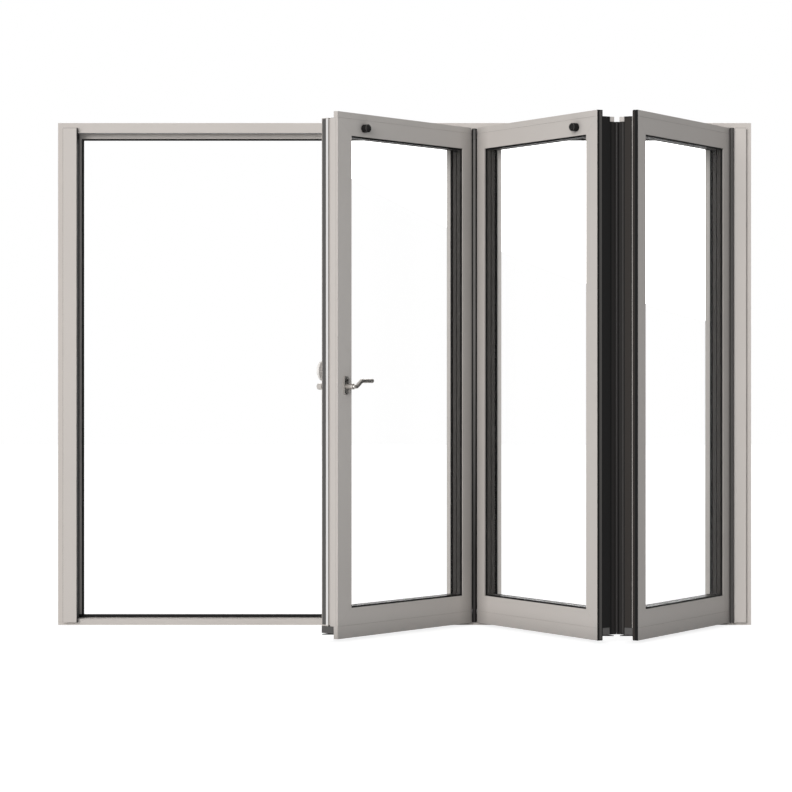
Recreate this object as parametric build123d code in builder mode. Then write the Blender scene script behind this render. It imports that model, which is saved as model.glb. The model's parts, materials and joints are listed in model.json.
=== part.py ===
from build123d import *
import os
from math import cos, radians, sin

# Aluminium folding door, three leaves, shown half folded to the right.
# X runs to the right, Y to the inside of the building, Z up, all in millimetres.
# The origin is in the middle of the underside of the sill.

# Outer frame
frame_width = 2900
frame_height = 2100
frame_depth = 85
frame_face = 41.5
frame_back_leg = 23
frame_lap = 19.5
sill_face = 25

# Closing profiles on the two jambs
jamb_margin = 23
adaptor_width = 57
adaptor_lap = 12.5

# Leaves
leaf_thickness = 80
flange_thickness = 20
leaf_gap = 7
lock_gap = 20
lead_extra = 9
flange_bottom = 12
flange_top_margin = 23
bottom_extension_height = 49
top_cover_height = 24
body_clearance = 8
lock_stile_face = 88
lead_hinge_stile_face = 65
second_far_stile_face = 61
second_near_stile_face = 78
third_near_stile_face = 70
third_jamb_stile_face = 63
top_rail_face = 66.5
bottom_rail_face = 68
profile_radius = 1
joint_gap = 0.2
hardware_groove_from = 37.5
hardware_groove_width = 10
hardware_groove_depth = 5

# Fold of the leaves, measured from the closed door
fold_angle = 60
lead_angle = 53.2

# Glazing
lip_thickness = 5
glass_bite = 18
gasket_thickness = 3
pane_thickness = 4
spacer_thickness = 16
inner_gasket_thickness = 9
sight_line = 6
glass_edge_clearance = 3
bead_chamfer = 1
bead_proud = 5

# Hinges
pivot_offset = 9.5
barrel_diameter = 16
wing_thickness = 3
wing_reach = 18
near_wing_reach = 22
cap_diameter = 23
cap_height = 5
cap_lift = 15
cap_chamfer = 3
cap_notch = 5
near_barrel_foot = 40
near_hinge_margin = 21
near_wing_margin = 20
guide_barrel_foot = 15
arm_thickness = 5
arm_height = 30
pin_clearance = 0.3

# Track, carriage and guide
track_width = 36
track_height = 30
track_wall = 3
track_slot = 16
track_setback = 14
trolley_width = 24
trolley_length = 90
trolley_height = 18
stem_diameter = 10
guide_channel_width = 18
guide_channel_depth = 15
shoe_length = 60
shoe_clearance = 1

# Rubber seals
seal_thickness = 8
seal_head_drop = 7.5
seal_jamb_reach = 9
seal_sill_rise = 2.8
sill_seal_height = 12.5
sill_seal_thickness = 5
edge_seal_thickness = 2.5
edge_seal_from = 24
edge_seal_to = 57.5
third_edge_seal_from = 26
second_flange_seal_to = 23.5
third_flange_seal_to = 21
wiper_inset = 2
wiper_foot = 10
wiper_thickness = 3
wiper_drop = 4
wiper_slope = 3

# Closing strip on the lock edge
lock_strip_from = 59.4
lock_strip_to = 75.5
lock_strip_thickness = 2
lock_strip_foot = 6
lock_strip_head = 3

# Lever handle and inside pull
handle_height = 1000
handle_setback = 50
rose_width = 28
rose_height = 72
rose_thickness = 5
rose_rise = 5
rose_radius = 8
rose_chamfer = 1.5
neck_diameter = 22
neck_length = 24
grip_diameter = 17
grip_length = 118
grip_rise = 22
grip_shift = 46
grip_end_chamfer = 3
elbow_run = 14
elbow_radius = 10
outside_standoff = 44
inside_standoff = 49
spindle_width = 8
spindle_bore = 14
plate_width = 30
plate_height = 200
plate_thickness = 8
plate_rise = 30
plate_radius = 6
plate_chamfer = 1.5
knob_diameter = 82
knob_thickness = 10
knob_standoff = 34
knob_height = 62
knob_neck = 24
knob_chamfer = 2

# Rubber door buffers
buffer_diameter = 32
buffer_length = 36
buffer_dome = 12
buffer_heel = 3
lead_buffer_reach = 742
second_buffer_reach = 756

# Values worked out from the sizes above
frame_front = -frame_depth / 2
rebate_depth = frame_depth - frame_back_leg
rebate_back = frame_front + rebate_depth
sill_lap = frame_lap * sill_face / frame_face
sill_back_height = sill_face + sill_lap
head_underside = frame_height - frame_face
head_back_underside = head_underside - frame_lap
leaf_front = frame_front - flange_thickness
clear_width = frame_width - 2 * (jamb_margin + adaptor_width)
leaf_width = (clear_width - 3 * leaf_gap - lock_gap - lead_extra) / 3
lead_width = leaf_width + lead_extra
flange_top = frame_height - flange_top_margin
body_bottom = sill_face + body_clearance
sash_bottom = flange_bottom + bottom_extension_height
sash_top = flange_top - top_cover_height
sash_height = sash_top - sash_bottom
flange_height = flange_top - flange_bottom
track_front = frame_front + track_setback
track_middle = track_front + track_width / 2
glass_front = lip_thickness + gasket_thickness
glass_back = glass_front + 3 * pane_thickness + 2 * spacer_thickness
bead_front = glass_back + inner_gasket_thickness

os.makedirs("parts", exist_ok=True)


def save(part, name):
    part.label = name
    export_step(part, f"parts/{name}.step")


# A leaf carries its own closed frame: X along its width, Y into its thickness
class Leaf:
    def __init__(self, name, width, angle, pivot, pivot_depth, left_face, right_face):
        self.name = name
        self.width = width
        self.left_face = left_face
        self.right_face = right_face
        along = Vector(cos(radians(angle)), sin(radians(angle)), 0)
        inward = Vector(-sin(radians(angle)), cos(radians(angle)), 0)
        corner = pivot - along * (width + leaf_gap / 2) - inward * pivot_depth
        self.plane = Plane(origin=corner, x_dir=along, z_dir=(0, 0, 1))

    def place(self, plane):
        return Plane(self.plane.location * plane.location)

    def point(self, across, depth, height=0):
        return self.plane.from_local_coords(Vector(across, depth, height))


outer_pivot_depth = -pivot_offset
inner_pivot_depth = leaf_thickness + pivot_offset
jamb_pivot = Vector(clear_width / 2 - leaf_gap / 2, leaf_front - pivot_offset, 0)
leaf_3 = Leaf(
    "leaf_3", leaf_width, fold_angle, jamb_pivot, outer_pivot_depth,
    third_near_stile_face, third_jamb_stile_face
)
near_pivot = leaf_3.point(-leaf_gap / 2, inner_pivot_depth)
leaf_2 = Leaf(
    "leaf_2", leaf_width, -fold_angle, near_pivot, inner_pivot_depth,
    second_far_stile_face, second_near_stile_face
)
far_pivot = leaf_2.point(-leaf_gap / 2, outer_pivot_depth)
leaf_1 = Leaf(
    "leaf_1", lead_width, lead_angle, far_pivot, outer_pivot_depth,
    lock_stile_face, lead_hinge_stile_face
)
leaves = [leaf_1, leaf_2, leaf_3]


# One bar of the outer frame, mitred at both ends
def frame_bar(start, inward, run, length, face, lap, first_mitre, last_mitre):
    with BuildPart() as bar:
        with BuildSketch(Plane(origin=start, x_dir=inward, z_dir=run)):
            with BuildLine():
                Polyline(
                    (0, 0),
                    (face, 0),
                    (face, rebate_depth),
                    (face + lap, rebate_depth),
                    (face + lap, frame_depth),
                    (0, frame_depth),
                    close=True,
                )
            make_face()
        extrude(amount=length)
        split(bisect_by=first_mitre, keep=Keep.TOP)
        split(bisect_by=last_mitre, keep=Keep.TOP)
    return bar


# Mitre planes of the outer frame, each with its normal into the head or sill
top_left = Vector(-frame_width / 2, frame_front, frame_height)
top_right = Vector(frame_width / 2, frame_front, frame_height)
bottom_left = Vector(-frame_width / 2, frame_front, 0)
bottom_right = Vector(frame_width / 2, frame_front, 0)
head_left_mitre = Plane(origin=top_left, z_dir=(1, 0, 1))
head_right_mitre = Plane(origin=top_right, z_dir=(-1, 0, 1))
sill_left_mitre = Plane(origin=bottom_left, z_dir=(sill_face, 0, -frame_face))
sill_right_mitre = Plane(origin=bottom_right, z_dir=(-sill_face, 0, -frame_face))

head_bar = frame_bar(
    top_left, (0, 0, -1), (1, 0, 0), frame_width, frame_face, frame_lap,
    head_left_mitre, head_right_mitre
)
left_jamb = frame_bar(
    bottom_left, (1, 0, 0), (0, 0, 1), frame_height, frame_face, frame_lap,
    -head_left_mitre, -sill_left_mitre
)
right_jamb = frame_bar(
    top_right, (-1, 0, 0), (0, 0, -1), frame_height, frame_face, frame_lap,
    -head_right_mitre, -sill_right_mitre
)
sill_bar = frame_bar(
    bottom_right, (0, 0, 1), (-1, 0, 0), frame_width, sill_face, sill_lap,
    sill_left_mitre, sill_right_mitre
)

track_length = frame_width - 2 * frame_face

# Pocket in the head for the track
with BuildPart() as frame_head:
    add(head_bar.part)
    with BuildSketch(Plane.XY.offset(head_underside)):
        with Locations((0, track_middle)):
            Rectangle(track_length, track_width)
    extrude(amount=track_height, mode=Mode.SUBTRACT)
save(frame_head.part, "frame_head")

# Channel in the sill for the guide shoe
with BuildPart() as frame_sill:
    add(sill_bar.part)
    with BuildSketch(Plane.XY.offset(sill_face)):
        with Locations((0, track_middle)):
            Rectangle(track_length, guide_channel_width)
    extrude(amount=-guide_channel_depth, mode=Mode.SUBTRACT)
save(frame_sill.part, "frame_sill")
save(left_jamb.part, "frame_left_jamb")
save(right_jamb.part, "frame_right_jamb")

# Lipped track pressed into the head
with BuildPart() as head_track:
    with BuildSketch(Plane.YZ.offset(-track_length / 2)):
        with Locations((track_middle, head_underside + track_height / 2)):
            Rectangle(track_width, track_height)
            Rectangle(track_width - 2 * track_wall, track_height - 2 * track_wall, mode=Mode.SUBTRACT)
        with Locations((track_middle, head_underside + track_wall / 2)):
            Rectangle(track_slot, track_wall, mode=Mode.SUBTRACT)
    extrude(amount=track_length)
save(head_track.part, "head_track")

adaptor_outer = frame_width / 2 - jamb_margin
adaptor_inner = clear_width / 2
jamb_inner = frame_width / 2 - frame_face
jamb_lap_inner = jamb_inner - frame_lap


# Closing profile on a jamb: a front flange, a body in the rebate and a rear lap
def jamb_adaptor(side):
    with BuildPart() as adaptor:
        with BuildSketch(Plane.XY.offset(flange_bottom)):
            with Locations((side * (adaptor_outer + adaptor_inner) / 2, leaf_front + flange_thickness / 2)):
                flange = Rectangle(adaptor_width, flange_thickness)
            front_corners = flange.vertices().group_by(Axis.Y)[0]
            fillet(front_corners, profile_radius)
        extrude(amount=flange_height)
        with BuildSketch(Plane.XY.offset(sill_face)):
            with Locations((side * (jamb_inner + adaptor_inner) / 2, frame_front + rebate_depth / 2)):
                Rectangle(jamb_inner - adaptor_inner, rebate_depth)
        extrude(amount=head_underside - sill_face)
        with BuildSketch(Plane.XY.offset(sill_back_height)):
            lap_inner = adaptor_inner - adaptor_lap
            with Locations((side * (jamb_lap_inner + lap_inner) / 2, rebate_back + frame_back_leg / 2)):
                Rectangle(jamb_lap_inner - lap_inner, frame_back_leg)
        extrude(amount=head_back_underside - sill_back_height)
    return adaptor


save(jamb_adaptor(-1).part, "left_jamb_adaptor")
save(jamb_adaptor(1).part, "right_jamb_adaptor")

seal_half_width = adaptor_inner - adaptor_lap
seal_bottom = sill_back_height + seal_sill_rise
seal_top = head_back_underside - seal_head_drop

# Rubber seal round the rear opening and along the sill, with a strip on the left closing profile
with BuildPart() as frame_seals:
    with BuildSketch(Plane.XZ.offset(-rebate_back)):
        with Locations((0, (sill_back_height + head_back_underside) / 2)):
            Rectangle(2 * seal_half_width, head_back_underside - sill_back_height)
        with Locations((0, (seal_bottom + seal_top) / 2)):
            Rectangle(2 * (seal_half_width - seal_jamb_reach), seal_top - seal_bottom, mode=Mode.SUBTRACT)
    extrude(amount=-seal_thickness)
    with BuildSketch(Plane.XZ.offset(-rebate_back)):
        with Locations((0, seal_bottom - sill_seal_height / 2)):
            Rectangle(2 * adaptor_inner, sill_seal_height)
    extrude(amount=sill_seal_thickness)
    with BuildSketch(Plane.XY.offset(flange_bottom)):
        with Locations((-adaptor_inner + edge_seal_thickness / 2, leaf_front + flange_thickness / 2)):
            Rectangle(edge_seal_thickness, flange_thickness)
    extrude(amount=flange_height)
    with BuildSketch(Plane.XY.offset(sill_face)):
        with Locations((-adaptor_inner + edge_seal_thickness / 2, frame_front + rebate_depth / 2)):
            Rectangle(edge_seal_thickness, rebate_depth)
    extrude(amount=head_underside - sill_face)
save(frame_seals.part, "frame_weather_seals")


# One bar of a leaf's sash, mitred at both ends, with lip, glass rebate and hardware groove
def sash_bar(leaf, start, inward, run, length, face, first_mitre, last_mitre):
    with BuildPart() as bar:
        with BuildSketch(leaf.place(Plane(origin=start, x_dir=inward, z_dir=run))):
            with BuildLine():
                Polyline(
                    (0, 0),
                    (face, 0),
                    (face, lip_thickness),
                    (face - glass_bite, lip_thickness),
                    (face - glass_bite, leaf_thickness),
                    (0, leaf_thickness),
                    (0, hardware_groove_from + hardware_groove_width),
                    (hardware_groove_depth, hardware_groove_from + hardware_groove_width),
                    (hardware_groove_depth, hardware_groove_from),
                    (0, hardware_groove_from),
                    close=True,
                )
            outline = make_face()
            outer_corners = outline.vertices().group_by(Axis.X)[0].sort_by(Axis.Y)
            fillet([outer_corners[0], outer_corners[-1]], profile_radius)
        extrude(amount=length)
        split(bisect_by=first_mitre, keep=Keep.TOP)
        split(bisect_by=last_mitre, keep=Keep.TOP)
    return bar


# Plane through the outer and inner corner of two bars, moved to one side by half a joint
def mitre(leaf, corner, across, up, facing):
    normal = Vector(-up, 0, across).normalized() * facing
    return leaf.place(Plane(origin=corner + normal * (joint_gap / 2), z_dir=normal))


def sash(leaf):
    low_left = Vector(0, 0, sash_bottom)
    low_right = Vector(leaf.width, 0, sash_bottom)
    high_left = Vector(0, 0, sash_top)
    high_right = Vector(leaf.width, 0, sash_top)
    left_stile = sash_bar(
        leaf, low_left, (1, 0, 0), (0, 0, 1), sash_height, leaf.left_face,
        mitre(leaf, low_left, leaf.left_face, bottom_rail_face, 1),
        mitre(leaf, high_left, leaf.left_face, -top_rail_face, -1),
    )
    right_stile = sash_bar(
        leaf, high_right, (-1, 0, 0), (0, 0, -1), sash_height, leaf.right_face,
        mitre(leaf, low_right, -leaf.right_face, bottom_rail_face, -1),
        mitre(leaf, high_right, -leaf.right_face, -top_rail_face, 1),
    )
    top_rail = sash_bar(
        leaf, high_left, (0, 0, -1), (1, 0, 0), leaf.width, top_rail_face,
        mitre(leaf, high_left, leaf.left_face, -top_rail_face, 1),
        mitre(leaf, high_right, -leaf.right_face, -top_rail_face, -1),
    )
    bottom_rail = sash_bar(
        leaf, low_right, (0, 0, 1), (-1, 0, 0), leaf.width, bottom_rail_face,
        mitre(leaf, low_left, leaf.left_face, bottom_rail_face, -1),
        mitre(leaf, low_right, -leaf.right_face, bottom_rail_face, 1),
    )
    return left_stile, right_stile, top_rail, bottom_rail


# Painted kick flange under a leaf
def bottom_extension(leaf):
    with BuildPart() as extension:
        with BuildSketch(leaf.place(Plane(origin=(0, 0, 0), x_dir=(0, 1, 0), z_dir=(1, 0, 0)))):
            with Locations((flange_thickness / 2, (flange_bottom + sash_bottom) / 2)):
                outline = Rectangle(flange_thickness, sash_bottom - flange_bottom)
            fillet(outline.vertices().group_by(Axis.Y)[0].sort_by(Axis.X)[0], profile_radius)
        extrude(amount=leaf.width)
    return extension


# Dark carrier under the body of a leaf, behind its kick flange, which holds the bottom wiper
def seal_carrier(leaf):
    with BuildPart() as carrier:
        with BuildSketch(leaf.place(Plane.XY.offset(body_bottom))):
            with Locations((leaf.width / 2, (flange_thickness + leaf_thickness) / 2)):
                Rectangle(leaf.width, leaf_thickness - flange_thickness)
        extrude(amount=sash_bottom - body_bottom)
    return carrier.part


# Rubber wiper that hangs from the front of a carrier and slopes down towards the back
def bottom_wiper(leaf):
    front = flange_thickness + wiper_inset
    back = leaf_thickness - wiper_inset
    low = body_bottom - wiper_drop
    with BuildPart() as wiper:
        with BuildSketch(leaf.place(Plane(origin=(0, 0, 0), x_dir=(0, 1, 0), z_dir=(1, 0, 0)))):
            with BuildLine():
                Polyline(
                    (front, body_bottom),
                    (front + wiper_foot, body_bottom),
                    (front + wiper_foot, low + wiper_thickness),
                    (back, low + wiper_thickness - wiper_slope),
                    (back, low - wiper_slope),
                    (front, low),
                    close=True,
                )
            make_face()
        extrude(amount=leaf.width)
    return wiper.part


# A rectangle of the leaf, set in from the edge of its sash by the same amount all round
def opening_size(leaf, inset):
    left = leaf.left_face + inset
    right = leaf.width - leaf.right_face - inset
    bottom = sash_bottom + bottom_rail_face + inset
    top = sash_top - top_rail_face - inset
    middle = ((left + right) / 2, (bottom + top) / 2)
    return middle, right - left, top - bottom


pane_inset = glass_edge_clearance - glass_bite
front_gasket_depth = lip_thickness
first_spacer_depth = glass_front + pane_thickness
second_spacer_depth = first_spacer_depth + spacer_thickness + pane_thickness
pane_pitch = pane_thickness + spacer_thickness


# Upright plane of a leaf at a depth behind its face, X along the leaf and Y up
def upright(leaf, depth):
    return leaf.place(Plane(origin=(0, depth, 0), x_dir=(1, 0, 0), z_dir=(0, -1, 0)))


def glass_unit(leaf):
    middle, across, high = opening_size(leaf, pane_inset)
    with BuildPart() as glass:
        for pane in range(3):
            with BuildSketch(upright(leaf, glass_front + pane * pane_pitch)):
                with Locations(middle):
                    Rectangle(across, high)
            extrude(amount=-pane_thickness)
    return glass


# A flat ring round the glass, between the pane's edge and the sight line
def glazing_ring(leaf, depth, thickness):
    middle, across, high = opening_size(leaf, pane_inset)
    hole_across = opening_size(leaf, sight_line)[1]
    hole_high = opening_size(leaf, sight_line)[2]
    with BuildPart() as ring:
        with BuildSketch(upright(leaf, depth)):
            with Locations(middle):
                Rectangle(across, high)
                Rectangle(hole_across, hole_high, mode=Mode.SUBTRACT)
        extrude(amount=-thickness)
    return ring


# Glazing beads on the inside of a leaf, as one ring that stands proud of its back
def glazing_beads(leaf):
    middle, across, high = opening_size(leaf, -glass_bite)
    hole_across = opening_size(leaf, 0)[1]
    hole_high = opening_size(leaf, 0)[2]
    with BuildPart() as beads:
        with BuildSketch(upright(leaf, bead_front)):
            with Locations(middle):
                Rectangle(across, high)
                Rectangle(hole_across, hole_high, mode=Mode.SUBTRACT)
        extrude(amount=bead_front - leaf_thickness - bead_proud)
        inside_face = beads.faces().sort_by(Axis(leaf.point(0, 0), leaf.plane.y_dir))[-1]
        chamfer(inside_face.inner_wires()[0].edges(), bead_chamfer)
    return beads


for leaf in leaves:
    left_stile, right_stile, top_rail, bottom_rail = sash(leaf)
    left_name = "lock_stile" if leaf is leaf_1 else "left_stile"
    right_name = "hinge_stile" if leaf is leaf_1 else "right_stile"
    if leaf is leaf_1:
        with BuildPart() as lock_stile:
            add(left_stile.part)
            with BuildSketch(upright(leaf_1, 0)):
                with Locations((handle_setback, handle_height)):
                    Circle(spindle_bore / 2)
            extrude(amount=-leaf_thickness, mode=Mode.SUBTRACT)
        left_stile = lock_stile
    save(left_stile.part, f"{leaf.name}_{left_name}")
    save(right_stile.part, f"{leaf.name}_{right_name}")
    save(top_rail.part, f"{leaf.name}_top_rail")
    save(bottom_rail.part, f"{leaf.name}_bottom_rail")
    save(bottom_extension(leaf).part, f"{leaf.name}_bottom_extension")
    save(glass_unit(leaf).part, f"{leaf.name}_glass")
    save(glazing_beads(leaf).part, f"{leaf.name}_glazing_beads")

gaskets = []
spacers = []
for leaf in leaves:
    gaskets.append(glazing_ring(leaf, front_gasket_depth, gasket_thickness).part)
    gaskets.append(glazing_ring(leaf, glass_back, inner_gasket_thickness).part)
    spacers.append(glazing_ring(leaf, first_spacer_depth, spacer_thickness).part)
    spacers.append(glazing_ring(leaf, second_spacer_depth, spacer_thickness).part)
save(Compound(gaskets), "glazing_gaskets")
save(Compound(spacers), "pane_spacers")

save(Compound([seal_carrier(leaf) for leaf in leaves]), "bottom_seal_carriers")

# Flange strips above the top rails, cut short beside the cap of the carriage
with BuildPart() as top_covers:
    for leaf, left_cut, right_cut in [(leaf_1, 0, cap_notch), (leaf_2, cap_notch, 0), (leaf_3, 0, 0)]:
        with BuildSketch(leaf.place(Plane.XY.offset(sash_top + joint_gap))):
            with Locations(((leaf.width + left_cut - right_cut) / 2, flange_thickness / 2)):
                Rectangle(leaf.width - left_cut - right_cut, flange_thickness)
        extrude(amount=top_cover_height - joint_gap)
save(top_covers.part, "leaf_top_covers")


# A strip on the edge of a leaf, on its left or right side
def edge_strip(leaf, side, from_depth, to_depth, bottom, top, thickness):
    across = -thickness / 2 if side < 0 else leaf.width + thickness / 2
    with BuildPart() as strip:
        with BuildSketch(leaf.place(Plane.XY.offset(bottom))):
            with Locations((across, (from_depth + to_depth) / 2)):
                Rectangle(thickness, to_depth - from_depth)
        extrude(amount=top - bottom)
    return strip.part


lock_strip = edge_strip(
    leaf_1, -1, lock_strip_from, lock_strip_to, sash_bottom + lock_strip_foot, sash_top - lock_strip_head,
    lock_strip_thickness
)
save(lock_strip, "lock_edge_strip")

edge_seals = []
for leaf, side in [(leaf_1, 1), (leaf_2, -1), (leaf_3, 1)]:
    edge_seals.append(
        edge_strip(leaf, side, edge_seal_from, edge_seal_to, sash_bottom, sash_top - arm_height,
                   edge_seal_thickness)
    )
near_edges = [
    (leaf_2, 1, second_flange_seal_to, edge_seal_from),
    (leaf_3, -1, third_flange_seal_to, third_edge_seal_from),
]
for leaf, side, flange_seal_to, body_seal_from in near_edges:
    edge_seals.append(
        edge_strip(leaf, side, 0, flange_seal_to, flange_bottom, flange_top, edge_seal_thickness)
    )
    edge_seals.append(
        edge_strip(leaf, side, body_seal_from, edge_seal_to, sash_bottom, sash_top, edge_seal_thickness)
    )
for leaf in leaves:
    edge_seals.append(bottom_wiper(leaf))
save(Compound(edge_seals), "leaf_edge_seals")


# Hinge wing: a flat bar on a leaf's edge that reaches to the pivot
def hinge_wing(leaf, side, from_depth, to_depth, bottom, top):
    return edge_strip(leaf, side, from_depth, to_depth, bottom, top, wing_thickness)


# Hinge from the right jamb to leaf 3
with BuildPart() as jamb_hinge:
    with BuildSketch(Plane(origin=jamb_pivot + Vector(0, 0, flange_bottom))):
        Circle(barrel_diameter / 2)
    extrude(amount=flange_height)
    with BuildSketch(Plane.XY.offset(flange_bottom)):
        wing_depth = pivot_offset + wing_reach
        with Locations((adaptor_inner - wing_thickness / 2, jamb_pivot.Y + wing_depth / 2)):
            Rectangle(wing_thickness, wing_depth)
    extrude(amount=flange_height)
    add(hinge_wing(leaf_3, 1, -pivot_offset, wing_reach, flange_bottom, flange_top))
save(jamb_hinge.part, "jamb_hinge")

near_wing_bottom = flange_bottom + near_hinge_margin
near_wing_top = sash_top - near_wing_margin

# Hinge between leaves 2 and 3, behind their backs
with BuildPart() as near_hinge:
    with BuildSketch(Plane(origin=near_pivot + Vector(0, 0, near_barrel_foot))):
        Circle(barrel_diameter / 2)
    extrude(amount=near_wing_top - near_barrel_foot)
    wing_from = leaf_thickness - near_wing_reach
    add(hinge_wing(leaf_2, 1, wing_from, inner_pivot_depth, near_wing_bottom, near_wing_top))
    add(hinge_wing(leaf_3, -1, wing_from, inner_pivot_depth, near_wing_bottom, near_wing_top))
save(near_hinge.part, "near_hinge")

arm_top = head_underside - body_clearance / 2
arm_bottom = arm_top - arm_height
guide_arm_bottom = body_bottom + body_clearance / 2
guide_arm_top = guide_arm_bottom + arm_height

# Hinge between leaves 1 and 2, in front of their faces
with BuildPart() as far_hinge:
    far_bottom = guide_arm_top + pin_clearance
    far_top = arm_bottom - pin_clearance
    with BuildSketch(Plane(origin=far_pivot + Vector(0, 0, far_bottom))):
        Circle(barrel_diameter / 2)
    extrude(amount=far_top - far_bottom)
    add(hinge_wing(leaf_1, 1, -pivot_offset, wing_reach, far_bottom, far_top))
    add(hinge_wing(leaf_2, -1, -pivot_offset, wing_reach, far_bottom, far_top))
save(far_hinge.part, "far_hinge")

arm_reach = track_middle - far_pivot.Y
trolley_bottom = head_underside + track_wall + pin_clearance

# Carriage that hangs the folding pair from the track
with BuildPart() as top_carriage:
    with BuildSketch(Plane(origin=far_pivot + Vector(0, 0, arm_bottom))):
        Circle(barrel_diameter / 2)
        with Locations((0, arm_reach / 2)):
            Rectangle(arm_thickness, arm_reach)
        with Locations((0, arm_reach)):
            Circle(stem_diameter / 2)
    extrude(amount=arm_height)
    with BuildSketch(Plane(origin=far_pivot + Vector(0, 0, arm_top))):
        Circle(barrel_diameter / 2)
    extrude(amount=cap_lift)
    with BuildSketch(Plane(origin=far_pivot + Vector(0, 0, arm_top + cap_lift))):
        Circle(cap_diameter / 2)
    extrude(amount=cap_height)
    chamfer(top_carriage.faces().sort_by(Axis.Z)[-1].edges(), cap_chamfer)
    with BuildSketch(Plane(origin=far_pivot + Vector(0, arm_reach, arm_top))):
        Circle(stem_diameter / 2)
    extrude(amount=trolley_bottom - arm_top)
    with BuildSketch(Plane(origin=far_pivot + Vector(0, arm_reach, trolley_bottom))):
        SlotOverall(trolley_length, trolley_width)
    extrude(amount=trolley_height)
save(top_carriage.part, "top_carriage")

shoe_bottom = sill_face - guide_channel_depth + shoe_clearance

# Guide shoe that runs in the sill channel
with BuildPart() as bottom_guide:
    with BuildSketch(Plane(origin=far_pivot + Vector(0, 0, guide_barrel_foot))):
        Circle(barrel_diameter / 2)
    extrude(amount=guide_arm_top - guide_barrel_foot)
    with BuildSketch(Plane(origin=far_pivot + Vector(0, 0, guide_arm_bottom))):
        with Locations((0, arm_reach / 2)):
            Rectangle(arm_thickness, arm_reach)
        with Locations((0, arm_reach)):
            Circle(stem_diameter / 2)
    extrude(amount=arm_height)
    with BuildSketch(Plane(origin=far_pivot + Vector(0, arm_reach, shoe_bottom))):
        Circle(stem_diameter / 2)
    extrude(amount=guide_arm_bottom - shoe_bottom)
    with BuildSketch(Plane(origin=far_pivot + Vector(0, arm_reach, shoe_bottom))):
        SlotOverall(shoe_length, guide_channel_width - 2 * shoe_clearance)
    extrude(amount=guide_channel_depth - 2 * shoe_clearance)
save(bottom_guide.part, "bottom_guide")

# Plate under the outside lever, with a bearing hole for the spindle
with BuildPart() as outside_rose:
    with BuildSketch(upright(leaf_1, 0)):
        with Locations((handle_setback, handle_height + rose_rise)):
            RectangleRounded(rose_width, rose_height, rose_radius)
        with Locations((handle_setback, handle_height)):
            Circle(spindle_bore / 2, mode=Mode.SUBTRACT)
    extrude(amount=rose_thickness)
    rose_face = outside_rose.faces().sort_by(Axis(leaf_1.point(0, 0), -leaf_1.plane.y_dir))[-1]
    chamfer(rose_face.outer_wire().edges(), rose_chamfer)
save(outside_rose.part, "outside_rose")

# Plate on the inside of the lock stile
with BuildPart() as inside_backplate:
    with BuildSketch(upright(leaf_1, leaf_thickness)):
        with Locations((handle_setback, handle_height + plate_rise)):
            RectangleRounded(plate_width, plate_height, plate_radius)
        with Locations((handle_setback, handle_height)):
            Circle(spindle_bore / 2, mode=Mode.SUBTRACT)
    extrude(amount=-plate_thickness)
    plate_face = inside_backplate.faces().sort_by(Axis(leaf_1.point(0, 0), leaf_1.plane.y_dir))[-1]
    chamfer(plate_face.outer_wire().edges(), plate_chamfer)
save(inside_backplate.part, "inside_backplate")

# Turned pull knob above the inside lever
knob_seat = leaf_thickness + plate_thickness
knob_face = leaf_thickness + knob_standoff
with BuildPart() as pull_knob:
    with BuildSketch(upright(leaf_1, knob_seat)):
        with Locations((handle_setback, handle_height + knob_height)):
            Circle(knob_neck / 2)
    extrude(amount=-(knob_face - knob_thickness - knob_seat))
    with BuildSketch(upright(leaf_1, knob_face - knob_thickness)):
        with Locations((handle_setback, handle_height + knob_height)):
            Circle(knob_diameter / 2)
    extrude(amount=-knob_thickness)
    rims = pull_knob.edges().filter_by(GeomType.CIRCLE).sort_by(SortBy.RADIUS)[-2:]
    chamfer(rims, knob_chamfer)
save(pull_knob.part, "pull_knob")

# Outside and inside lever on one square spindle, the piece that turns
outside_neck_foot = -rose_thickness - pin_clearance
inside_neck_foot = knob_seat + pin_clearance
outside_grip_depth = -outside_standoff
inside_grip_depth = leaf_thickness + inside_standoff
grip_end = handle_setback + grip_length
outside_route = [
    leaf_1.point(handle_setback, outside_neck_foot, handle_height),
    leaf_1.point(handle_setback, outside_grip_depth, handle_height),
    leaf_1.point(handle_setback + elbow_run, outside_grip_depth, handle_height),
    leaf_1.point(handle_setback + grip_shift, outside_grip_depth, handle_height + grip_rise),
    leaf_1.point(grip_end, outside_grip_depth, handle_height + grip_rise),
]
inside_route = [
    leaf_1.point(handle_setback, inside_neck_foot, handle_height),
    leaf_1.point(handle_setback, inside_grip_depth, handle_height),
    leaf_1.point(grip_end, inside_grip_depth, handle_height),
]

# Round grip that follows a route out from its plate, with a wider neck round its foot
def lever(route):
    with BuildPart() as handle:
        foot = Plane(origin=route[0], z_dir=route[1] - route[0])
        with BuildLine() as path:
            FilletPolyline(*route, radius=elbow_radius)
        with BuildSketch(foot):
            Circle(grip_diameter / 2)
        sweep(path=path.line)
        end_edges = handle.edges().filter_by(GeomType.CIRCLE).sort_by_distance(route[-1])
        chamfer(end_edges[0], grip_end_chamfer)
        with BuildSketch(foot):
            Circle(neck_diameter / 2)
        extrude(amount=neck_length)
    return handle.part


with BuildPart() as lever_set:
    with BuildSketch(upright(leaf_1, outside_neck_foot)):
        with Locations((handle_setback, handle_height)):
            Rectangle(spindle_width, spindle_width)
    extrude(amount=-(inside_neck_foot - outside_neck_foot))
    add(lever(outside_route))
    add(lever(inside_route))
save(lever_set.part, "lever_set")


dome_radius = ((buffer_diameter / 2) ** 2 + buffer_dome**2) / (2 * buffer_dome)


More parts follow.
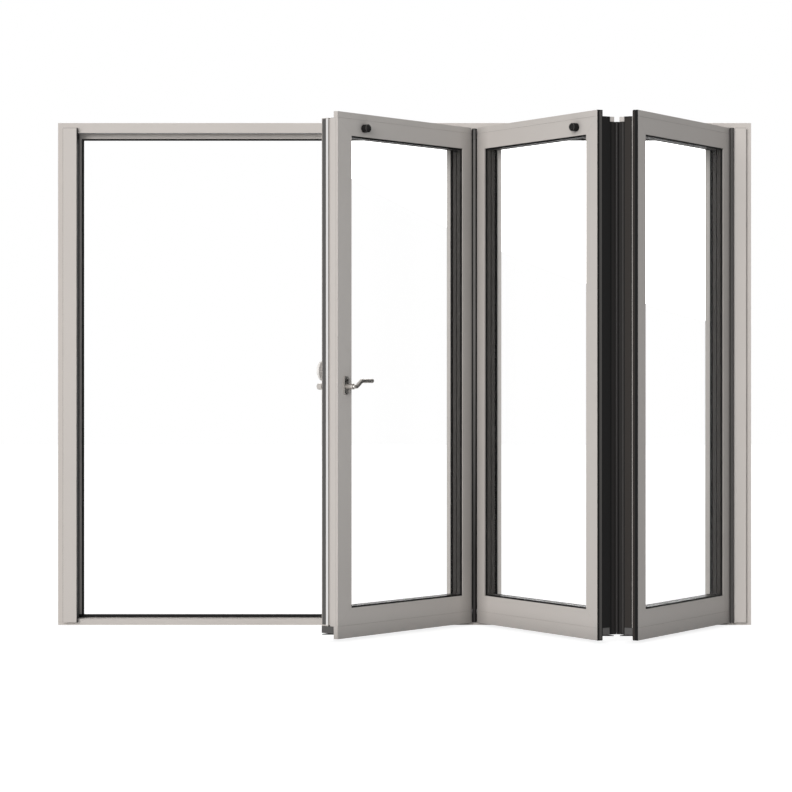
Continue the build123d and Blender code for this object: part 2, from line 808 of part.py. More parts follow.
# Domed rubber buffer on the face of a top rail
def door_buffer(leaf, across):
    height = sash_top - top_rail_face / 2
    radius = buffer_diameter / 2
    straight = buffer_length - buffer_dome
    with BuildPart() as stop:
        with BuildSketch(leaf.place(Plane(origin=(across, 0, height), x_dir=(1, 0, 0), z_dir=(0, 0, -1)))):
            with BuildLine():
                Line((0, buffer_length), (0, 0))
                Line((0, 0), (radius - buffer_heel, 0))
                Line((radius - buffer_heel, 0), (radius, buffer_heel))
                Line((radius, buffer_heel), (radius, straight))
                RadiusArc((radius, straight), (0, buffer_length), -dome_radius)
            make_face()
        revolve(axis=Axis(leaf.point(across, 0, height), -leaf.plane.y_dir))
    return stop.part


lead_buffer = door_buffer(leaf_1, leaf_1.width - lead_buffer_reach)
second_buffer = door_buffer(leaf_2, second_buffer_reach)
save(Compound([lead_buffer, second_buffer]), "door_buffers")
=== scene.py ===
# Folding door with three leaves, half folded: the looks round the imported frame.
import json
import math
import bmesh
import bpy
from mathutils import Matrix, Vector


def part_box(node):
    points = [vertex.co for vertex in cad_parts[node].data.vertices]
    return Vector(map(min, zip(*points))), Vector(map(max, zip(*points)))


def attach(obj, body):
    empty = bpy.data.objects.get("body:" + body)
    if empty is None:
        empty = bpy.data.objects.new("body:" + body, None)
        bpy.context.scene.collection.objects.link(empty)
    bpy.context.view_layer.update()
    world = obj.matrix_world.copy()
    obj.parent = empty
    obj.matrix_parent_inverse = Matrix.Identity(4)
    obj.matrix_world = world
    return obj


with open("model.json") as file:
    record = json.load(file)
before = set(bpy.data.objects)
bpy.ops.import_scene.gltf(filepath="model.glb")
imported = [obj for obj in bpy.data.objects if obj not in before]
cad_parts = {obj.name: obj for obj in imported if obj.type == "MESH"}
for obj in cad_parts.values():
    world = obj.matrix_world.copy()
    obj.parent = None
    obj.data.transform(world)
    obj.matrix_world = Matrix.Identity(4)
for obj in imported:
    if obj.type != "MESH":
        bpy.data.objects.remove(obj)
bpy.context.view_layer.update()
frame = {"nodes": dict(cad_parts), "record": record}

nodes = frame["nodes"]
print("frame loaded,", len(nodes), "nodes")


# Camera, level and square to the doorway
cameraSetup = {
    "place": (0.006, -11.4195, 1.0386),   # metres
    "sensorWidth": 36.0,                  # mm
    "focalPixels": 2719.0,                # focal length in picture pixels
    "pictureSize": 792.0,
    "centreX": 406.0,                     # where the level line of sight meets the picture
    "centreY": 376.7,
    "sightLimit": 60,                     # metres
}


def placeCamera(setup):
    cameraData = bpy.data.cameras.new("doorCamera")
    cameraData.sensor_width = setup["sensorWidth"]
    cameraData.lens = setup["focalPixels"] / setup["pictureSize"] * setup["sensorWidth"]
    half = setup["pictureSize"] / 2
    cameraData.shift_x = (half - setup["centreX"]) / setup["pictureSize"]
    cameraData.shift_y = (setup["centreY"] - half) / setup["pictureSize"]
    cameraData.clip_end = setup["sightLimit"]
    camera = bpy.data.objects.new("doorCamera", cameraData)
    camera.location = setup["place"]
    camera.rotation_euler = (math.radians(90), 0, 0)
    bpy.context.scene.collection.objects.link(camera)
    bpy.context.scene.camera = camera


placeCamera(cameraSetup)
bpy.context.scene.view_settings.view_transform = "Standard"
print("camera placed")


# Studio: white all round for camera, mirror and glass rays, soft lamps for the rest
studio = {
    "ambient": 0.25,                      # grey level that lights the door from all sides
    "ambientColour": (0.97, 0.99, 1, 1),
    "background": 1.0,                    # level that the camera sees, 1 is white
    "backgroundColour": (1, 1, 1, 1),
    "floorSize": 60.0,
    "floorGlow": 0.82,
    "floorColour": (0.42, 0.42, 0.42, 1),
    "bounces": 32,                        # a look through all three leaves meets 18 faces of glass
}
lamps = {                                 # far, broad lamps: turn, tilt and spread in degrees
    "keyLamp": {
        "turn": -22, "tilt": 13, "spread": 34,
        "power": 2.42, "colour": (1, 0.985, 0.975),
    },
    "rearLamp": {
        "turn": 165, "tilt": 30, "spread": 60,
        "power": 1.3, "colour": (1, 1, 1),
    },
}
fillPanel = {                             # soft panel that lights the lead leaf's face
    "place": (0.60, -2.2, 1.25),          # metres
    "towards": (0.05, -0.4, 1.15),
    "size": (0.8, 2.4),
    "power": 7.2,
    "colour": (0.87, 0.95, 1),
}


def sightRays(tree):                      # 1 for rays of camera, mirror and glass, else 0
    path = tree.nodes.new("ShaderNodeLightPath")
    first = tree.nodes.new("ShaderNodeMath")
    first.operation = "MAXIMUM"
    second = tree.nodes.new("ShaderNodeMath")
    second.operation = "MAXIMUM"
    tree.links.new(path.outputs["Is Camera Ray"], first.inputs[0])
    tree.links.new(path.outputs["Is Glossy Ray"], first.inputs[1])
    tree.links.new(first.outputs[0], second.inputs[0])
    tree.links.new(path.outputs["Is Transmission Ray"], second.inputs[1])
    return second.outputs[0]


def lightWorld(setup):
    world = bpy.data.worlds.new("studioWorld")
    bpy.context.scene.world = world
    world.use_nodes = True
    tree = world.node_tree
    tree.nodes.clear()
    output = tree.nodes.new("ShaderNodeOutputWorld")
    mix = tree.nodes.new("ShaderNodeMixShader")
    ambient = tree.nodes.new("ShaderNodeBackground")
    ambient.inputs["Strength"].default_value = setup["ambient"]
    ambient.inputs["Color"].default_value = setup["ambientColour"]
    seen = tree.nodes.new("ShaderNodeBackground")
    seen.inputs["Strength"].default_value = setup["background"]
    seen.inputs["Color"].default_value = setup["backgroundColour"]
    tree.links.new(sightRays(tree), mix.inputs["Fac"])
    tree.links.new(ambient.outputs[0], mix.inputs[1])
    tree.links.new(seen.outputs[0], mix.inputs[2])
    tree.links.new(mix.outputs[0], output.inputs["Surface"])


def hangLamp(name, setup):
    lampData = bpy.data.lights.new(name, "SUN")
    lampData.energy = setup["power"]
    lampData.color = setup["colour"]
    lampData.angle = math.radians(setup["spread"])
    lamp = bpy.data.objects.new(name, lampData)
    lamp.rotation_euler = (math.radians(90 - setup["tilt"]), 0, math.radians(setup["turn"]))
    bpy.context.scene.collection.objects.link(lamp)


def hangPanel(name, setup):
    panelData = bpy.data.lights.new(name, "AREA")
    panelData.shape = "RECTANGLE"
    panelData.size, panelData.size_y = setup["size"]
    panelData.energy = setup["power"]
    panelData.color = setup["colour"]
    panel = bpy.data.objects.new(name, panelData)
    aim = Vector(setup["towards"]) - Vector(setup["place"])
    panel.location = setup["place"]
    panel.rotation_euler = aim.to_track_quat("-Z", "Y").to_euler()
    panel.visible_camera = False
    panel.visible_glossy = False
    panel.visible_transmission = False
    bpy.context.scene.collection.objects.link(panel)


def layFloor(setup):
    half = setup["floorSize"] / 2
    mesh = bpy.data.meshes.new("floor")
    corners = [(-half, -half, 0), (half, -half, 0), (half, half, 0), (-half, half, 0)]
    mesh.from_pydata(corners, [], [(0, 1, 2, 3)])
    floor = bpy.data.objects.new("floor", mesh)
    bpy.context.scene.collection.objects.link(floor)
    material = bpy.data.materials.new("paleFloor")
    material.use_nodes = True
    tree = material.node_tree
    tree.nodes.clear()
    output = tree.nodes.new("ShaderNodeOutputMaterial")
    both = tree.nodes.new("ShaderNodeAddShader")
    matt = tree.nodes.new("ShaderNodeBsdfDiffuse")
    matt.inputs["Color"].default_value = setup["floorColour"]
    glow = tree.nodes.new("ShaderNodeEmission")
    strength = tree.nodes.new("ShaderNodeMath")
    strength.operation = "MULTIPLY"
    strength.inputs[1].default_value = setup["floorGlow"]
    tree.links.new(sightRays(tree), strength.inputs[0])
    tree.links.new(strength.outputs[0], glow.inputs["Strength"])
    tree.links.new(matt.outputs[0], both.inputs[0])
    tree.links.new(glow.outputs[0], both.inputs[1])
    tree.links.new(both.outputs[0], output.inputs["Surface"])
    mesh.materials.append(material)


def setBounces(count):
    cycles = bpy.context.scene.cycles
    cycles.max_bounces = count
    cycles.transmission_bounces = count
    cycles.transparent_max_bounces = count


setBounces(studio["bounces"])
lightWorld(studio)
for name, setup in lamps.items():
    hangLamp(name, setup)
hangPanel("fillPanel", fillPanel)
layFloor(studio)
print("studio lit")


# Parts of a material
def newMaterial(name):
    material = bpy.data.materials.new(name)
    material.use_nodes = True
    tree = material.node_tree
    skin = tree.nodes["Principled BSDF"]
    return material, tree, skin


def inMetres(tree, stretch=(1, 1, 1)):    # object coordinates, squeezed along the grain
    place = tree.nodes.new("ShaderNodeTexCoord")
    mapping = tree.nodes.new("ShaderNodeMapping")
    mapping.inputs["Scale"].default_value = stretch
    tree.links.new(place.outputs["Object"], mapping.inputs["Vector"])
    return mapping.outputs["Vector"]


def noise(tree, vector, scale, detail):
    node = tree.nodes.new("ShaderNodeTexNoise")
    node.inputs["Scale"].default_value = scale
    node.inputs["Detail"].default_value = detail
    tree.links.new(vector, node.inputs["Vector"])
    return node.outputs["Fac"]


noiseLow, noiseHigh = 0.3, 0.7            # values between which most of a noise lies


def spread(tree, value, low, high, fromLow=noiseLow, fromHigh=noiseHigh):    # maps to a range
    node = tree.nodes.new("ShaderNodeMapRange")
    node.inputs["From Min"].default_value = fromLow
    node.inputs["From Max"].default_value = fromHigh
    node.inputs["To Min"].default_value = low
    node.inputs["To Max"].default_value = high
    tree.links.new(value, node.inputs["Value"])
    return node.outputs["Result"]


def tone(tree, amount, dark, light):      # colour between two tones
    node = tree.nodes.new("ShaderNodeMix")
    node.data_type = "RGBA"
    node.inputs["A"].default_value = (*dark, 1)
    node.inputs["B"].default_value = (*light, 1)
    tree.links.new(amount, node.inputs["Factor"])
    return node.outputs["Result"]


def shade(colour, share):
    return [channel * share for channel in colour]


def finishSkin(tree, skin, grains, look):    # roughness and a fine relief from one noise
    relief = tree.nodes.new("ShaderNodeBump")
    relief.inputs["Distance"].default_value = look["relief"]
    tree.links.new(grains, relief.inputs["Height"])
    tree.links.new(relief.outputs["Normal"], skin.inputs["Normal"])
    tree.links.new(spread(tree, grains, *look["roughness"]), skin.inputs["Roughness"])
    skin.inputs["Specular IOR Level"].default_value = look["shine"]
    skin.inputs["Metallic"].default_value = look["metallic"]


def grainedCoat(name, look, dark):        # one noise for tone, roughness and relief
    material, tree, skin = newMaterial(name)
    grains = noise(tree, inMetres(tree, look["stretch"]), look["grain"], look["detail"])
    tree.links.new(tone(tree, grains, dark, look["colour"]), skin.inputs["Base Color"])
    finishSkin(tree, skin, grains, look)
    return material


# Powder coat of frame and leaves: grains per metre, relief in metres
paint = {
    "colour": (0.584, 0.546, 0.515),
    "cloud": 2.5,                         # patches of slightly different tone, per metre
    "cloudDetail": 3,
    "cloudDepth": 0.03,
    "grain": 700,
    "detail": 2,
    "relief": 0.00003,
    "roughness": (0.40, 0.50),
    "shine": 0.12,
    "metallic": 0,
    "cornerShadeReach": 0.10,                  # how far from a corner the painted shade reaches, in metres
    "cornerShadeSamples": 8,
    "cornerShadeDepth": 0,
}
# leaves get painted shade in their corners and joints; the frame gets none
leafPaint = {**paint, "cornerShadeDepth": 0.65}
# lighter copy of the paint for the glazing beads: painted light, so the reveals look brightly lit
beadPaintLit = {**paint, "colour": (0.67, 0.635, 0.60)}


def paintedCornerShade(tree, colour, look):          # painted shade: darkens paint in corners and joints, by ambient occlusion
    corner = tree.nodes.new("ShaderNodeAmbientOcclusion")
    corner.samples = look["cornerShadeSamples"]
    corner.inputs["Distance"].default_value = look["cornerShadeReach"]
    tree.links.new(colour, corner.inputs["Color"])
    mix = tree.nodes.new("ShaderNodeMix")
    mix.data_type = "RGBA"
    mix.inputs["Factor"].default_value = look["cornerShadeDepth"]
    tree.links.new(colour, mix.inputs["A"])
    tree.links.new(corner.outputs["Color"], mix.inputs["B"])
    return mix.outputs["Result"]


def powderCoat(name, look):
    material, tree, skin = newMaterial(name)
    vector = inMetres(tree)
    cloud = noise(tree, vector, look["cloud"], look["cloudDetail"])
    grains = noise(tree, vector, look["grain"], look["detail"])
    dark = shade(look["colour"], 1 - look["cloudDepth"])
    light = shade(look["colour"], 1 + look["cloudDepth"])
    colour = tone(tree, cloud, dark, light)
    if look["cornerShadeDepth"]:
        colour = paintedCornerShade(tree, colour, look)
    tree.links.new(colour, skin.inputs["Base Color"])
    finishSkin(tree, skin, grains, look)
    return material


# Seals, gaskets and buffers
rubber = {
    "dark": (0.007, 0.007, 0.007),
    "colour": (0.014, 0.013, 0.013),
    "grain": 900,
    "detail": 3,
    "stretch": (1, 1, 1),
    "relief": 0.00005,
    "roughness": (0.5, 0.65),
    "shine": 0.1,
    "metallic": 0,
}

# Plastic, coated steel and the dull strips on the edges: colour and roughness
coat = {
    "darkest": 0.8,                       # share of the colour in its dark grains
    "grain": 600,
    "detail": 2,
    "stretch": (1, 1, 1),
    "relief": 0.00003,
    "shine": 0.15,
    "metallic": 0,
}
coats = {
    "spacer_bar": ((0.07, 0.066, 0.062), (0.4, 0.5)),
    "dark_hinge": ((0.015, 0.0135, 0.013), (0.35, 0.45)),
    "hingeGrey": ((0.075, 0.071, 0.068), (0.35, 0.45)),
    "grey_plastic": ((0.11, 0.106, 0.104), (0.4, 0.5)),
    "carriage_steel": ((0.10, 0.096, 0.092), (0.35, 0.45)),
    "sealGrey": ((0.075, 0.071, 0.068), (0.5, 0.6)),
    "sealBrown": ((0.027, 0.023, 0.0205), (0.5, 0.6)),
    # blackest finish: painted shade for the lines of grooves, gaps and joints
    "grooveShadeBlack": ((0.003, 0.003, 0.003), (0.6, 0.7)),
}

# Pin of the far hinge, with painted shade that darkens it towards its foot
pinShadeTones = {
    "low": (0.02, 0.019, 0.018),
    "high": (0.115, 0.110, 0.105),
    "from": 0.3,                          # heights between which the painted shade fades out, in metres
    "to": 1.2,
    "grain": 600,
    "detail": 2,
    "relief": 0.00003,
    "roughness": (0.35, 0.45),
    "shine": 0.15,
    "metallic": 0,
}


def pinShadedCoat(name, look):
    material, tree, skin = newMaterial(name)
    # painted shade: colour runs from dark at the foot to light higher up
    split = tree.nodes.new("ShaderNodeSeparateXYZ")
    tree.links.new(inMetres(tree), split.inputs["Vector"])
    share = spread(tree, split.outputs["Z"], 0, 1, look["from"], look["to"])
    tree.links.new(tone(tree, share, look["low"], look["high"]), skin.inputs["Base Color"])
    grains = noise(tree, inMetres(tree), look["grain"], look["detail"])
    finishSkin(tree, skin, grains, look)
    return material


# Bare aluminium, brushed along its length
brushed = {
    "darkest": 0.94,
    "grain": 1,
    "detail": 3,
    "relief": 0.00001,
    "shine": 0.5,
    "metallic": 1,
}
aluminium = {
    "track_aluminium": {
        **brushed, "colour": (0.6, 0.6, 0.61), "roughness": (0.32, 0.42),
        "stretch": (8, 900, 900),
    },
    "edgeAluminium": {
        **brushed, "colour": (0.70, 0.69, 0.68), "roughness": (0.35, 0.45),
        "stretch": (900, 900, 8),
    },
}

# Nickel of the levers, the rose and the backplate, with a painted dark reflection
leverNickelPaintedReflection = {
    "light": (0.55, 0.52, 0.49),
    "dark": (0.09, 0.086, 0.08),          # painted reflection of the studio's dark, where it looks out from the leaf
    "outward": (0.80, -0.60, 0),          # out from the face of the lead leaf
    "reflectionDarkFrom": 0.45,                     # share of the outward direction where the painted reflection starts to darken it
    "reflectionDarkTo": 0.9,
    "grain": 1,
    "detail": 3,
    "stretch": (40, 40, 900),
    "relief": 0.00001,
    "roughness": (0.25, 0.35),
    "shine": 0.5,
    "metallic": 0.8,
}
# near-white matte colour of the pull knob: painted light that stands in for the bright reflection
# of its nickel
knobNickelPaintedBright = {
    "colour": (0.94, 0.91, 0.88),
    "darkest": 0.95,
    "grain": 500,
    "detail": 2,
    "stretch": (1, 1, 1),
    "relief": 0.00001,
    "roughness": (0.35, 0.45),
    "shine": 0.5,
    "metallic": 0,
}


def nickelPaintedReflection(name, look):
    material, tree, skin = newMaterial(name)
    lines = noise(tree, inMetres(tree, look["stretch"]), look["grain"], look["detail"])
    # painted reflection: the base colour darkens where the normal turns out from the lead leaf
    facing = tree.nodes.new("ShaderNodeNewGeometry")
    along = tree.nodes.new("ShaderNodeVectorMath")
    along.operation = "DOT_PRODUCT"
    along.inputs[1].default_value = look["outward"]
    tree.links.new(facing.outputs["Normal"], along.inputs[0])
    size = tree.nodes.new("ShaderNodeMath")
    size.operation = "ABSOLUTE"
    tree.links.new(along.outputs["Value"], size.inputs[0])
    share = spread(tree, size.outputs[0], 0, 1, look["reflectionDarkFrom"], look["reflectionDarkTo"])
    tree.links.new(tone(tree, share, look["light"], look["dark"]), skin.inputs["Base Color"])
    finishSkin(tree, skin, lines, look)
    return material


# Panes
glazing = {
    "ior": 1.04,                          # near 1, so that the white studio leaves no veil on it
    "passes": 0.97,                       # share of lamp light through one face of a pane
    "waves": 1.2,                         # slow waves in the float glass, per metre
    "waveDetail": 1,
    "roughness": (0.0, 0.01),
}


def clearGlass(name, look):
    material, tree, skin = newMaterial(name)
    skin.inputs["Base Color"].default_value = (1, 1, 1, 1)
    skin.inputs["Transmission Weight"].default_value = 1
    skin.inputs["IOR"].default_value = look["ior"]
    waves = noise(tree, inMetres(tree), look["waves"], look["waveDetail"])
    tree.links.new(spread(tree, waves, *look["roughness"]), skin.inputs["Roughness"])
    path = tree.nodes.new("ShaderNodeLightPath")
    passing = tree.nodes.new("ShaderNodeMath")
    passing.operation = "MAXIMUM"
    tree.links.new(path.outputs["Is Shadow Ray"], passing.inputs[0])
    tree.links.new(path.outputs["Is Diffuse Ray"], passing.inputs[1])
    clear = tree.nodes.new("ShaderNodeBsdfTransparent")
    passes = look["passes"]
    clear.inputs["Color"].default_value = (passes, passes, passes, 1)
    mix = tree.nodes.new("ShaderNodeMixShader")
    tree.links.new(passing.outputs[0], mix.inputs["Fac"])
    tree.links.new(skin.outputs[0], mix.inputs[1])
    tree.links.new(clear.outputs[0], mix.inputs[2])
    tree.links.new(mix.outputs[0], tree.nodes["Material Output"].inputs["Surface"])
    return material


finishes = {
    "frame_paint": powderCoat("frame_paint", paint),
    "leaf_paint": powderCoat("leaf_paint", leafPaint),
    "beadPaintLit": powderCoat("beadPaintLit", beadPaintLit),
    "glass": clearGlass("glass", glazing),
    "black_rubber": grainedCoat("black_rubber", rubber, rubber["dark"]),
    "satin_nickel": nickelPaintedReflection("satin_nickel", leverNickelPaintedReflection),
    "knobNickelPaintedBright": grainedCoat(
        "knobNickelPaintedBright", knobNickelPaintedBright, shade(knobNickelPaintedBright["colour"], knobNickelPaintedBright["darkest"])),
    "pinShadedCoat": pinShadedCoat("pinShadedCoat", pinShadeTones),
}
for name, look in aluminium.items():
    finishes[name] = grainedCoat(name, look, shade(look["colour"], look["darkest"]))
for name, (colour, roughness) in coats.items():
    look = {**coat, "colour": colour, "roughness": roughness}
    finishes[name] = grainedCoat(name, look, shade(colour, coat["darkest"]))

ownFinish = {                             # nodes that don't wear the finish of their slot
    "pull_knob": "knobNickelPaintedBright",
    "far_hinge": "pinShadedCoat",
    "jamb_hinge": "hingeGrey",
    "leaf_1_glazing_beads": "beadPaintLit",
    "leaf_2_glazing_beads": "beadPaintLit",
    "leaf_3_glazing_beads": "beadPaintLit",
}
for part in frame["record"]["subparts"]:
    node = nodes[part["node"]]
    node.data.materials.clear()
    node.data.materials.append(finishes[ownFinish.get(part["node"], part["material_slot"])])
print("finishes on", len(nodes), "nodes")


# Where each leaf stands, from the hinge pins: X along its width, Y into its thickness
fold = {
    "jambPin": (1.3665, -0.072, 0),       # metres
    "leafWidth": 0.896667,
    "leadWidth": 0.905667,
    "gap": 0.007,                         # between two leaves
    "thickness": 0.080,
    "pinOffset": 0.0095,                  # from the leaf's face to the hinge pin
    "leafAngle": 60,                      # degrees from the doorway
    "leadAngle": 53.2,
}


def leafFrame(pin, angle, width, pinDepth):
    turn = math.radians(angle)
    along = Vector((math.cos(turn), math.sin(turn), 0))
    inward = Vector((-along.y, along.x, 0))
    corner = pin - along * (width + fold["gap"] / 2) - inward * pinDepth
    return Matrix((
        (along.x, inward.x, 0, corner.x),
        (along.y, inward.y, 0, corner.y),
        (0, 0, 1, 0),
        (0, 0, 0, 1),
    ))


outerPin = -fold["pinOffset"]
innerPin = fold["thickness"] + fold["pinOffset"]
leaf3 = leafFrame(Vector(fold["jambPin"]), fold["leafAngle"], fold["leafWidth"], outerPin)
nearPin = leaf3 @ Vector((-fold["gap"] / 2, innerPin, 0))
leaf2 = leafFrame(nearPin, -fold["leafAngle"], fold["leafWidth"], innerPin)
farPin = leaf2 @ Vector((-fold["gap"] / 2, outerPin, 0))
leaf1 = leafFrame(farPin, fold["leadAngle"], fold["leadWidth"], outerPin)


def addPiece(name, mesh, body, finish):
    mesh.materials.append(finishes[finish])
    piece = bpy.data.objects.new(name, mesh)
    bpy.context.scene.collection.objects.link(piece)
    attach(piece, body)


def asMesh(name, shape):
    bmesh.ops.recalc_face_normals(shape, faces=shape.faces)
    mesh = bpy.data.meshes.new(name)
    shape.to_mesh(mesh)
    shape.free()
    return mesh


def smoothSides(mesh):                    # the four-cornered faces of a round piece
    for face in mesh.polygons:
        face.use_smooth = len(face.vertices) == 4


def prism(name, place, outline, low, high):    # upright bar with the given outline
    shape = bmesh.new()
    foot = [shape.verts.new(place @ Vector((x, y, low))) for x, y in outline]
    head = [shape.verts.new(place @ Vector((x, y, high))) for x, y in outline]
    shape.faces.new(foot)
    shape.faces.new(head)
    for index in range(len(outline)):
        after = (index + 1) % len(outline)
        shape.faces.new((foot[index], foot[after], head[after], head[index]))
    return asMesh(name, shape)


# Strips that run up the edges of the leaves, in metres
sink = 0.0004                             # how deep a piece reaches into what carries it
bevelShare = 0.25                         # most of a strip's depth that one bevel takes
leafEdges = {                             # the leaf, where its edge is and which way it looks
    "lockEdge": (leaf1, 0, -1),
    "secondNearEdge": (leaf2, fold["leafWidth"], 1),
    "thirdNearEdge": (leaf3, 0, -1),
}
# strips in the groove finish are painted shade: black lines where the grooves lie
edgeStrips = {                            # depths from the leaf's face, base and lift from its edge
    "lockFaceplate": {
        "edge": "lockEdge", "depths": (0.0477, 0.0594), "heights": (0.065, 2.050),
        "base": 0, "lift": 0.0006, "slot": "track_aluminium", "finish": "edgeAluminium",
    },
    # black hairline at the back of the flange: painted shade of a thin groove
    "lockFlangeShadeLine": {
        "edge": "lockEdge", "depths": (0.0090, 0.0094), "heights": (0.063, 2.052),
        "base": 0, "lift": 0.0002, "slot": "black_rubber", "finish": "grooveShadeBlack",
    },
    "secondSealStripe": {
        "edge": "secondNearEdge", "depths": (0.0085, 0.0203), "heights": (0.016, 2.073),
        "base": 0.0025, "lift": 0.0006, "slot": "grey_plastic", "finish": "sealGrey",
    },
    "secondSealGroove": {
        "edge": "secondNearEdge", "depths": (0.0014, 0.0061), "heights": (0.014, 2.075),
        "base": 0.0025, "lift": 0.0003, "slot": "black_rubber", "finish": "grooveShadeBlack",
    },
    "secondBodyGroove": {
        "edge": "secondNearEdge", "depths": (0.0580, 0.0650), "heights": (0.034, 2.032),
        "base": 0.003, "lift": 0.0003, "slot": "black_rubber", "finish": "grooveShadeBlack",
    },
    "thirdSealStripe": {
        "edge": "thirdNearEdge", "depths": (0.0125, 0.0224), "heights": (0.016, 2.073),
        "base": 0.0025, "lift": 0.0004, "slot": "grey_plastic", "finish": "sealBrown",
    },
    "thirdSealGroove": {
        "edge": "thirdNearEdge", "depths": (0.0008, 0.0120), "heights": (0.014, 2.075),
        "base": 0.0025, "lift": 0.0003, "slot": "black_rubber", "finish": "grooveShadeBlack",
    },
    "thirdBodyStripe": {
        "edge": "thirdNearEdge", "depths": (0.0290, 0.0560), "heights": (0.063, 2.050),
        "base": 0.0025, "lift": 0.0004, "slot": "grey_plastic", "finish": "sealBrown",
    },
    "thirdWingLine": {
        "edge": "thirdNearEdge", "depths": (0.0620, 0.0650), "heights": (0.034, 2.032),
        "base": 0.003, "lift": 0.0004, "slot": "grey_plastic", "finish": "sealGrey",
    },
}


def edgeStrip(name, setup):
    place, across, side = leafEdges[setup["edge"]]
    inner = across + side * (setup["base"] - sink)
    outer = across + side * (setup["base"] + setup["lift"])
    near, far = setup["depths"]
    bevel = min(setup["lift"], (far - near) * bevelShare)
    outline = [(inner, near), (outer, near + bevel), (outer, far - bevel), (inner, far)]
    return prism(name, place, outline, *setup["heights"])


for name, setup in edgeStrips.items():
    addPiece(name, edgeStrip(name, setup), "door", setup["finish"])


# Round rubber beads on both sides of a hinge pin, in metres, in the blackest finish, which paints
# the shade of the gaps beside the pin
pinBeads = {                              # a bead lies aside of the pin and forward of it
    "farPin": {
        "pin": farPin, "radius": 0.0027, "aside": 0.0070, "forward": 0.0039,
        "heights": (0.016, 2.069),
    },
    "nearPin": {
        "pin": nearPin, "radius": 0.0020, "aside": 0.0078, "forward": 0.0026,
        "heights": (0.041, 2.032),
    },
}
beadSides = 16


def pinBead(name, setup, side):
    centre = setup["pin"] + Vector((side * setup["aside"], -setup["forward"], 0))
    radius = setup["radius"]
    outline = []
    for step in range(beadSides):
        turn = 2 * math.pi * step / beadSides
        outline.append((centre.x + radius * math.cos(turn), centre.y + radius * math.sin(turn)))
    mesh = prism(name, Matrix.Identity(4), outline, *setup["heights"])
    smoothSides(mesh)
    return mesh


for name, setup in pinBeads.items():
    for label, side in (("Left", -1), ("Right", 1)):
        beadName = name + "Bead" + label
        mesh = pinBead(beadName, setup, side)
        addPiece(beadName, mesh, "door", "grooveShadeBlack")
print("edge strips and beads added")


# Turned pieces, from their half outline: distance along the axis and radius
turning = {
    "sides": 32,
    "sharpAngle": 35,                     # degrees
    "roundSteps": 4,                      # flats in a rounded corner
}


def turned(name, place, outline):
    sides = turning["sides"]
    shape = bmesh.new()
    rings = []
    for along, radius in outline:
        ring = []
        for step in range(sides):
            turn = 2 * math.pi * step / sides
            point = Vector((radius * math.cos(turn), radius * math.sin(turn), along))
            ring.append(shape.verts.new(place @ point))
        rings.append(ring)
    for first, second in zip(rings, rings[1:]):
        for step in range(sides):
            after = (step + 1) % sides
            shape.faces.new((first[step], first[after], second[after], second[step]))
    shape.faces.new(rings[0])
    shape.faces.new(rings[-1])
    mesh = asMesh(name, shape)
    smoothSides(mesh)
    mesh.set_sharp_from_angle(angle=math.radians(turning["sharpAngle"]))
    return mesh


def leafAxis(leaf, across, depth, height, outward):    # its Z runs out from the leaf's face, or in
    facing = Vector((0, -1, 0)) if outward else Vector((0, 1, 0))
    turn = facing.to_track_quat("Z", "Y").to_matrix().to_4x4()
    return leaf @ Matrix.Translation((across, depth, height)) @ turn


# Sleeves that thicken the necks of the two levers up to their bends, in metres
spindle = {
    "across": 0.050,                      # from the lock edge of the lead leaf
    "height": 1.0,
}
sleeves = {                               # depth of the foot, counted inwards from the leaf's face
    "outsideNeckSleeve": {
        "depth": -0.0290, "outward": True,
        "radius": 0.0112, "length": 0.0130, "round": 0.002,
    },
    "insideNeckBoss": {
        "depth": 0.1120, "outward": False,
        "radius": 0.0135, "length": 0.0255, "round": 0.005,
    },
}


def sleeveOutline(setup):
    corner = setup["round"]
    length = setup["length"] - corner
    radius = setup["radius"] - corner
    outline = [(0, setup["radius"])]
    for step in range(turning["roundSteps"] + 1):
        turn = math.radians(90 * step / turning["roundSteps"])
        outline.append((length + corner * math.sin(turn), radius + corner * math.cos(turn)))
    return outline


for name, setup in sleeves.items():
    place = leafAxis(
        leaf1, spindle["across"], setup["depth"], spindle["height"], setup["outward"])
    mesh = turned(name, place, sleeveOutline(setup))
    addPiece(name, mesh, "lever", "satin_nickel")


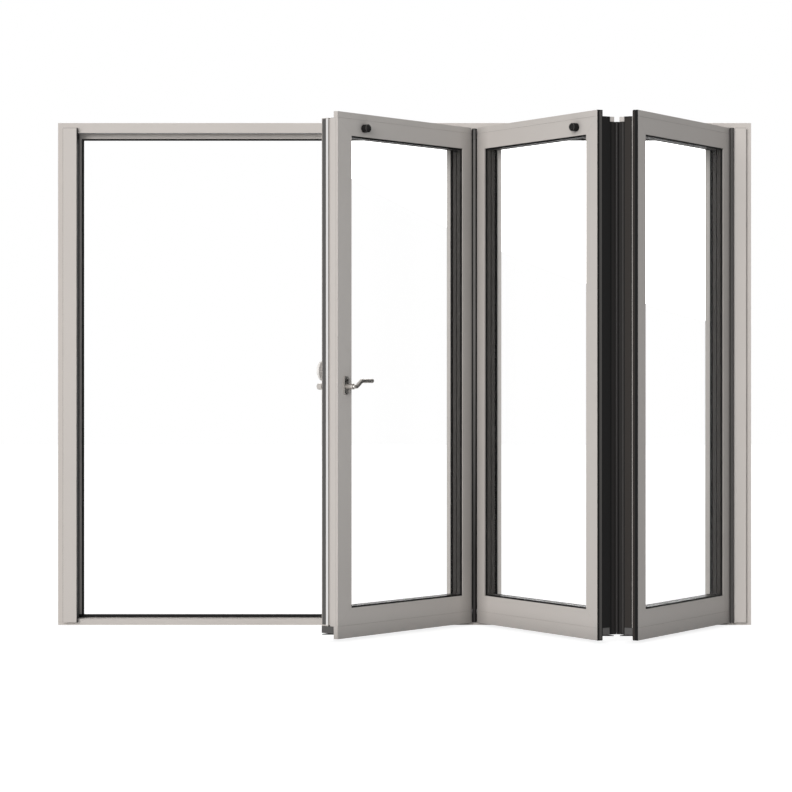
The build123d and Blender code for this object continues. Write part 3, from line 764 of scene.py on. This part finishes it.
# Collars round the rubber buffers, in metres
collar = {
    "height": 2.01975,                    # of its axis, above the floor
    "from": 0.0235,                       # from the leaf's face to the collar's foot
    "width": 0.0030,
    "radius": 0.0162,
    "lip": 0.0004,                        # bevel of its two edges
    "leadFromHinge": 0.742,               # from the hinge edge of the lead leaf
    "secondAcross": 0.756,                # from the left edge of leaf 2
}
collarPlaces = {
    "leadBufferCollar": (leaf1, fold["leadWidth"] - collar["leadFromHinge"]),
    "secondBufferCollar": (leaf2, collar["secondAcross"]),
}


def collarOutline(setup):
    width, radius, lip = setup["width"], setup["radius"], setup["lip"]
    return [(0, radius - lip), (lip, radius), (width - lip, radius), (width, radius - lip)]


for name, (leaf, across) in collarPlaces.items():
    place = leafAxis(leaf, across, -collar["from"], collar["height"], True)
    mesh = turned(name, place, collarOutline(collar))
    addPiece(name, mesh, "door", "sealGrey")
print("sleeves and collars added")


# Fine dark joints round the front edges of the closing profiles, in metres; their black is painted
# shade of the gap
adaptorSeam = {
    "left": 0.0007,                       # how far it stands out at each side
    "right": 0.0002,
    "head": 0.0010,
    "behind": 0.0012,                     # from the profile's front face
    "depth": 0.0005,                      # of the joint itself
}


def seamRun(name, low, high):             # thin bar between two corners, square to the axes
    outline = [(low[0], low[1]), (high[0], low[1]), (high[0], high[1]), (low[0], high[1])]
    mesh = prism(name, Matrix.Identity(4), outline, low[2], high[2])
    addPiece(name, mesh, "door", "grooveShadeBlack")


for side in ("left", "right"):
    lowest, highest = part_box(side + "_jamb_adaptor")
    near = lowest[1] + adaptorSeam["behind"]
    far = near + adaptorSeam["depth"]
    top = highest[2]
    if side == "left":
        inner, outer = lowest[0] - adaptorSeam[side], lowest[0] + sink
    else:
        inner, outer = highest[0] - sink, highest[0] + adaptorSeam[side]
    seamRun(side + "AdaptorSeam", (inner, near, lowest[2]), (outer, far, top))
    seamRun(
        side + "AdaptorHeadSeam",
        (lowest[0], near, top - sink), (highest[0], far, top + adaptorSeam["head"]))
print("seams added")
